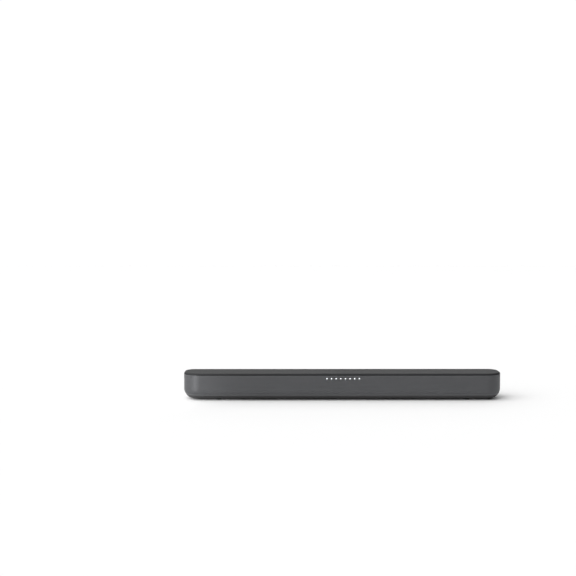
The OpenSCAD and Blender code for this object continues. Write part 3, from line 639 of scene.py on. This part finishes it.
floor_top = floor_z + wall
cup_r, cup_bore_r = 4.5 * MM, 1.7 * MM
cup_low, cup_top = floor_z + well_depth, floor_z + cup_h
for k, (x, y) in enumerate(screw_wells):
    profile = [(cup_bore_r, cup_low), (cup_r, cup_low), (cup_r, cup_top), (cup_bore_r, cup_top)]
    cup = turned(f"case_cup_{k + 1}", profile, (x, y, 0), sides=32)
    dress(cup, case_black)
post_in = 4 * MM
for node in ("main_board", "power_board"):
    a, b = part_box(node)
    corners = [(x, y) for x in (a.x + post_in, b.x - post_in) for y in (a.y + post_in, b.y - post_in)]
    for k, (x, y) in enumerate(corners):
        profile = [(0.95, floor_top), (3.0, floor_top), (2.6, floor_top + 1 * MM), (2.5, a.z), (0.95, a.z)]
        post = turned(f"{node}_post_{k + 1}", [(r * MM, z) for r, z in profile], (x, y, 0), sides=28)
        dress(post, case_black)
pad_in, pad_y, pad_r = 12 * MM, 16 * MM, 2.6 * MM
for side in ("left", "right"):
    a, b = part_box(f"{side}_speaker_box")
    for k, x in enumerate((a.x + pad_in, b.x - pad_in)):
        for j, y in enumerate((-pad_y, pad_y)):
            profile = [(0, floor_top), (pad_r, floor_top), (pad_r, a.z), (0, a.z)]
            pad = turned(f"{side}_box_pad_{k + 1}_{j + 1}", profile, (x, y, 0), sides=28)
            dress(pad, case_black)

# ------------------------------------------------------------------ keys
# Four round keycaps with dished tops stand level with the lid. Each carries a
# grey sign: a power ring, an arrow for the source, a minus and a plus.

key_grey = finish_material(
    "key_grey", (0.024, 0.0245, 0.0255), 0.62, 4200, 0.00002, coat=0.06, specular=0.05, polish=0.08
)
sign_grey = finish_material("sign_grey", (0.10, 0.10, 0.105), 0.5, 2000, 0.00001)
plunger_black = finish_material("plunger_black", (0.02, 0.02, 0.02), 0.5, 2000, 0.00002)
dish = 0.35 * MM
sign_t = 0.12 * MM


def bar_sign(cx, cy, z, w, h):
    return brick("sign", (cx - w / 2, cy - h / 2, z), (cx + w / 2, cy + h / 2, z + sign_t))


def join(name, parts):
    """Joins loose shapes into one piece."""
    bm = bmesh.new()
    for part in parts:
        bm.from_mesh(part.data)
    mesh = bpy.data.meshes.new(name)
    bm.to_mesh(mesh)
    bm.free()
    for part in parts:
        bpy.data.objects.remove(part)
    joined = bpy.data.objects.new(name, mesh)
    bpy.context.scene.collection.objects.link(joined)
    return tidy(joined)


for name in key_names:
    x, y = key_spots[name]
    a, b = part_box(f"{name}_key")
    stem_r, flange_r = 2 * MM, 7.5 * MM
    stem_top, flange_top = a.z + 2.2 * MM, a.z + 3.2 * MM
    profile = [(0, a.z), (stem_r, a.z), (stem_r, stem_top), (flange_r, stem_top), (flange_r, flange_top)]
    profile += [(key_r, flange_top), (key_r, b.z - 0.4 * MM)]
    profile += [(key_r - 0.12 * MM, b.z - 0.12 * MM), (key_r - 0.4 * MM, b.z)]
    for step in range(1, 9):
        share = step / 8
        profile.append(((key_r - 0.5 * MM) * (1 - share), b.z - dish * math.sin(share * math.pi / 2)))
    cap = turned(f"{name}_keycap", profile, (x, y, 0), sides=64)
    dress(cap, key_grey, f"{name}_button", [f"{name}_key"])
    z = b.z - dish - 0.02 * MM
    if name == "volume_up":
        parts = [bar_sign(x, y, z, 3.6 * MM, 0.6 * MM)]
        parts += [bar_sign(x, y + s * 1.05 * MM, z, 0.6 * MM, 1.5 * MM) for s in (-1, 1)]
    elif name == "volume_down":
        parts = [bar_sign(x, y, z, 3.6 * MM, 0.6 * MM)]
    elif name == "source":
        parts = [bar_sign(x - 0.5 * MM, y, z, 2.4 * MM, 0.6 * MM)]
        arrow = ((0.7, -1.2), (2.0, 0), (0.7, 1.2))
        verts = [(x + dx * MM, y + dy * MM, z + dz) for dz in (0, sign_t) for dx, dy in arrow]
        faces = [(0, 2, 1), (3, 4, 5), (0, 1, 4, 3), (1, 2, 5, 4), (2, 0, 3, 5)]
        parts.append(new_piece("sign", verts, faces))
    else:
        verts, faces, steps = [], [], 24
        for k in range(steps + 1):
            a0 = math.radians(125 + 290 * k / steps)
            for r, dz in ((1.3, 0), (1.9, 0), (1.9, sign_t), (1.3, sign_t)):
                verts.append((x + r * MM * math.cos(a0), y + r * MM * math.sin(a0), z + dz))
        for k in range(steps):
            for j in range(4):
                m = (j + 1) % 4
                faces.append((4 * k + j, 4 * k + m, 4 * k + 4 + m, 4 * k + 4 + j))
        faces += [(3, 2, 1, 0), tuple(4 * steps + j for j in range(4))]
        parts = [new_piece("sign", verts, faces), bar_sign(x, y + 1.4 * MM, z, 0.6 * MM, 1.8 * MM)]
    sign = join(f"{name}_sign", parts)
    dress(sign, sign_grey, f"{name}_button")
    dress_node(f"{name}_plunger", plunger_black)

switch_metal = finish_material("switch_metal", (0.55, 0.55, 0.56), 0.3, 1500, 0.00002, metallic=1.0)
dress_node("key_switches", switch_metal)

# ------------------------------------------------------------------ rear bays
# Two ABS panels close the notch in the rear wall. One has a recess with a face
# plate for the signal sockets, the other a recess for the mains inlet. Brass
# inserts in the wall take the bracket's screws.

bay_black = finish_material("bay_black", (0.03, 0.03, 0.031), 0.5, 3000, 0.00004)
for node in ("connector_bay", "inlet_bay", "socket_plate"):
    dress_node(node, bay_black)
socket_steel = finish_material(
    "socket_steel", (0.62, 0.63, 0.64), 0.26, 2500, 0.00001, metallic=1.0, mottle=0.06
)
socket_black = finish_material("socket_black", (0.018, 0.018, 0.019), 0.42, 2200, 0.00002)
for node in ("hdmi_socket", "usb_socket"):
    dress_node(node, socket_steel)
for node in ("optical_socket", "aux_jack", "mains_inlet"):
    dress_node(node, socket_black)

insert_brass = finish_material("insert_brass", (0.72, 0.52, 0.22), 0.3, 1800, 0.00002, metallic=1.0)
thread_r, thread_pitch = 2.5 * MM, 0.8 * MM
insert_len = insert_high.y - insert_low.y
for side, x in (("left", -insert_x), ("right", insert_x)):
    profile = [(2.1 * MM, 0), (insert_r - 0.1 * MM, 0), (insert_r - 0.1 * MM, insert_len - 0.3 * MM)]
    profile += [(insert_r - 0.4 * MM, insert_len), (thread_r, insert_len)]
    for k in range(int(insert_len / thread_pitch) - 1, 0, -1):
        profile += [(thread_r - 0.35 * MM, (k + 0.5) * thread_pitch), (thread_r, k * thread_pitch)]
    insert = turned(f"{side}_wall_insert", profile, (x, insert_low.y, insert_z), "y", sides=40)
    dress(insert, insert_brass, replaces=["wall_inserts"])

# ------------------------------------------------------------------ speakers
# Each sealed box holds one racetrack driver: pressed steel basket, coated
# paper cone, rubber roll surround, cloth spider, copper coil and motor.

box_black = finish_material("box_black", (0.02, 0.02, 0.021), 0.55, 1800, 0.00005)
basket_paint = finish_material("basket_paint", (0.05, 0.05, 0.052), 0.4, 2500, 0.00002)
gasket_foam = finish_material("gasket_foam", (0.02, 0.02, 0.02), 0.95, 2200, 0.0002)
ferrite = finish_material("ferrite", (0.07, 0.07, 0.075), 0.6, 1200, 0.00004)
zinc = finish_material("zinc", (0.60, 0.60, 0.58), 0.35, 900, 0.00002, metallic=1.0)
cone_paper = finish_material("cone_paper", (0.022, 0.022, 0.023), 0.6, 900, 0.00008)
roll_rubber = finish_material("roll_rubber", (0.012, 0.012, 0.012), 0.45, 1500, 0.00001)
copper = finish_material("copper", (0.72, 0.36, 0.18), 0.3, 1500, 0.00002, metallic=1.0)
spider_cloth = finish_material("spider_cloth", (0.42, 0.30, 0.12), 0.9, 2600, 0.0002)
track_half = 38 * MM
track_steps = 20


def track(r, y, centre):
    """A racetrack ring of half height r at depth y."""
    ring = []
    for end, start in ((1, -90), (-1, 90)):
        for k in range(track_steps + 1):
            a = math.radians(start + 180 * k / track_steps)
            ring.append((centre.x + end * track_half + r * math.cos(a), y, centre.z + r * math.sin(a)))
    return ring


def track_shell(name, rings):
    """Joins racetrack rings in turn and returns from the last ring to the first."""
    verts = [p for ring in rings for p in ring]
    count, faces = len(rings[0]), []
    for k in range(len(rings)):
        m = (k + 1) % len(rings)
        for j in range(count):
            n = (j + 1) % count
            faces.append((k * count + j, k * count + n, m * count + n, m * count + j))
    return tidy(new_piece(name, verts, faces), 40)


for side in ("left", "right"):
    dress_node(f"{side}_speaker_box", box_black)
    dress_node(f"{side}_box_cover", box_black)
    dress_node(f"{side}_basket", basket_paint)
    dress_node(f"{side}_gasket", gasket_foam)
    dress_node(f"{side}_magnet", ferrite)
    dress_node(f"{side}_yoke", zinc)
    cone_low, cone_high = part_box(f"{side}_cone")
    roll_low, roll_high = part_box(f"{side}_surround")
    centre = (cone_low + cone_high) / 2
    rim_r = (cone_high.z - cone_low.z) / 2
    roll_r = (roll_high.z - roll_low.z) / 2
    neck_r = 10.6 * MM
    deep = cone_high.y - cone_low.y

    # the cone flares from a round neck to the racetrack rim
    rings = []
    steps = 8
    for skin in (0.0, 0.5 * MM):
        layer = []
        for k in range(steps + 1):
            share = k / steps
            bow = share**0.8
            ring = []
            for p in track(rim_r - skin, 0, centre):
                rim = Vector(p) - centre
                rim.y = 0
                neck = rim.normalized() * (neck_r - skin)
                spot = neck.lerp(rim, bow)
                y = cone_high.y - 0.5 * MM - (deep - 0.5 * MM) * share + skin * 0.9
                ring.append((centre.x + spot.x, y, centre.z + spot.z))
            layer.append(ring)
        rings.append(layer)
    flare = track_shell(f"{side}_cone_flare", rings[0] + rings[1][::-1])
    dress(flare, cone_paper, f"{side}_cone_assembly", [f"{side}_cone"])

    # a domed dust cap closes the neck
    cap_r, cap_rise, cap_t = neck_r + 0.6 * MM, 3.2 * MM, 0.4 * MM
    climb = [math.pi / 2 * k / 8 for k in range(9)]
    outer = [(cap_r * math.cos(a), cap_rise * math.sin(a)) for a in climb]
    inner = [(r * (cap_r - cap_t) / cap_r, h * (cap_rise - cap_t) / cap_rise) for r, h in outer]
    cap_foot = (centre.x, cone_high.y - 1.5 * MM, centre.z)
    cap = turned(f"{side}_dust_cap", outer + inner[::-1], cap_foot, "-y", sides=40)
    dress(cap, cone_paper, f"{side}_cone_assembly")

    # the surround is a half roll between the rim and the basket
    inner_edge, outer_edge = rim_r + 0.2 * MM, roll_r
    arch = (outer_edge - inner_edge) / 2
    front, back = [], []
    for k in range(9):
        a = math.pi * k / 8
        r = (inner_edge + outer_edge) / 2 - arch * math.cos(a)
        rise = 0.55 * MM * math.sin(a)
        front.append(track(r, roll_high.y - 0.35 * MM - rise, centre))
        back.append(track(r, roll_high.y - rise, centre))
    roll = track_shell(f"{side}_surround_roll", front + back[::-1])
    dress(roll, roll_rubber, replaces=[f"{side}_surround"])

    # the spider is a corrugated disc round the coil
    web_low, web_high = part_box(f"{side}_spider")
    web_r = (web_high.x - web_low.x) / 2
    web_in, waves = 10.8 * MM, 4
    top, under = [], []
    for k in range(waves * 6 + 1):
        r = web_in + (web_r - web_in) * k / (waves * 6)
        h = 0.2 * MM * math.sin(2 * math.pi * k / 6)
        top.append((r, h + 0.07 * MM))
        under.append((r, h - 0.07 * MM))
    web_y = web_high.y + 0.05 * MM
    middle = ((web_low.x + web_high.x) / 2, web_y, (web_low.z + web_high.z) / 2)
    web = turned(f"{side}_spider_web", under + top[::-1], middle, "-y", sides=48)
    dress(web, spider_cloth, replaces=[f"{side}_spider"])

    # the coil is wound on its former
    coil_low, coil_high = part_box(f"{side}_voice_coil")
    coil_len = coil_high.y - coil_low.y
    former_r, wire = 9.85 * MM, 0.22 * MM
    profile = [(former_r - 0.12 * MM, 0), (former_r, 0)]
    wound = int(coil_len * 0.5 / (2 * wire))
    for k in range(wound):
        h = 0.6 * MM + k * 2 * wire
        profile += [(former_r, h), (former_r + 0.3 * MM, h + wire * 0.6)]
        profile += [(former_r + 0.3 * MM, h + wire * 1.4), (former_r, h + wire * 2)]
    profile += [(former_r, coil_len), (former_r - 0.12 * MM, coil_len)]
    coil = turned(f"{side}_coil_winding", profile, (centre.x, coil_high.y, centre.z), "-y", sides=48)
    dress(coil, copper, f"{side}_cone_assembly", [f"{side}_voice_coil"])

# ------------------------------------------------------------------ boards
# The power board carries the transformer and five capacitors, the main board
# the heat sink, the wireless module and four chips.

board_tan = finish_material("board_tan", (0.30, 0.20, 0.075), 0.5, 600, 0.00003)
sink_metal = finish_material("sink_metal", (0.55, 0.56, 0.57), 0.38, 800, 0.00003, metallic=1.0)
tape_yellow = finish_material("tape_yellow", (0.70, 0.48, 0.06), 0.4, 500, 0.00004)
sleeve_blue = finish_material("sleeve_blue", (0.02, 0.045, 0.11), 0.3, 700, 0.00002)
dress_node("main_board", board_green)
dress_node("power_board", board_tan)
dress_node("amplifier_heat_sink", sink_metal)
dress_node("wireless_module", socket_steel)
dress_node("transformer", tape_yellow)

board_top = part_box("main_board")[1].z
chip_black = finish_material("chip_black", (0.016, 0.016, 0.017), 0.45, 1500, 0.00002)
chips = [(14, -18, 7, 7, 1), (14, -6, 5, 9, 1.4), (83, -22, 10, 10, 1.2), (50, 12, 14, 6, 1.6)]
for k, (x, y, w, d, h) in enumerate(chips):
    at = Vector((x * MM, y * MM, board_top))
    chip = brick(f"chip_{k + 1}", at - Vector((w, d, 0)) * MM / 2, at + Vector((w / 2, d / 2, h)) * MM)
    eased(chip, 0.15 * MM)
    dress(chip, chip_black)

cans = [(-34, -14, 9, 28), (-34, 8, 6.5, 22), (-17, 6, 5, 18), (-17, -12, 5, 18), (-94, 18, 5, 16)]
for k, (x, y, r, h) in enumerate(cans):
    rim = r - 0.5
    profile = [(0, 0), (rim, 0), (r, 0.5), (r, 1.6), (r - 0.4, 2.1), (r, 2.6)]
    profile += [(r, h - 0.5), (rim, h), (rim - 0.6, h - 0.25), (0, h - 0.25)]
    profile = [(a * MM, b * MM) for a, b in profile]
    can = turned(f"capacitor_{k + 1}", profile, (x * MM, y * MM, board_top), sides=40)
    dress(can, sleeve_blue, replaces=["power_capacitors"])

# ------------------------------------------------------------------ screws
# All screws are zinc-plated pan heads. The six case screws sit in wells under
# the bar and have a cross recess.

screw_zinc = finish_material("screw_zinc", (0.5, 0.5, 0.5), 0.35, 1500, 0.00002, metallic=1.0)


def cross_screw(name, place, head_r, head_h, shank_r, length):
    """A pan-head screw with its head down, as it sits under the case."""
    profile = [(0, -head_h), (head_r * 0.55, -head_h), (head_r * 0.85, -head_h * 0.8)]
    profile += [(head_r, -head_h * 0.35), (head_r, 0), (shank_r, 0)]
    pitch = shank_r * 0.6
    for k in range(int(length / pitch)):
        profile += [(shank_r * 0.78, (k + 0.5) * pitch), (shank_r, (k + 1) * pitch)]
    profile += [(0, length)]
    screw = turned(name, profile, place, sides=24)
    slots = []
    for quarter in (0, 1):
        slot_half, slot_w = head_r * 0.55, head_r * 0.11
        w, d = (slot_half, slot_w) if quarter else (slot_w, slot_half)
        foot = Vector(place)
        slot_low, slot_high = Vector((-w, -d, -head_h - MM)), Vector((w, d, -head_h * 0.3))
        slots.append(brick("slot", foot + slot_low, foot + slot_high))
    return cut(screw, slots)


for k, (x, y) in enumerate(screw_wells):
    seat = (x, y, floor_z + well_depth)
    screw = cross_screw(f"case_screw_{k + 1}", seat, 2.9 * MM, 2 * MM, 1.4 * MM, 14 * MM)
    dress(screw, screw_zinc, replaces=["case_screws"])
for node in ("speaker_screws", "board_screws"):
    dress_node(node, screw_zinc)

# ------------------------------------------------------------------ leads
# A red lead runs from each speaker box to the main board, and flat white
# cables join the boards.

lead_red = finish_material("lead_red", (0.22, 0.02, 0.02), 0.45, 900, 0.00003)
ribbon_white = finish_material("ribbon_white", (0.66, 0.66, 0.62), 0.5, 900, 0.00003)
dress_node("speaker_leads", lead_red)
dress_node("ribbon_cables", ribbon_white)
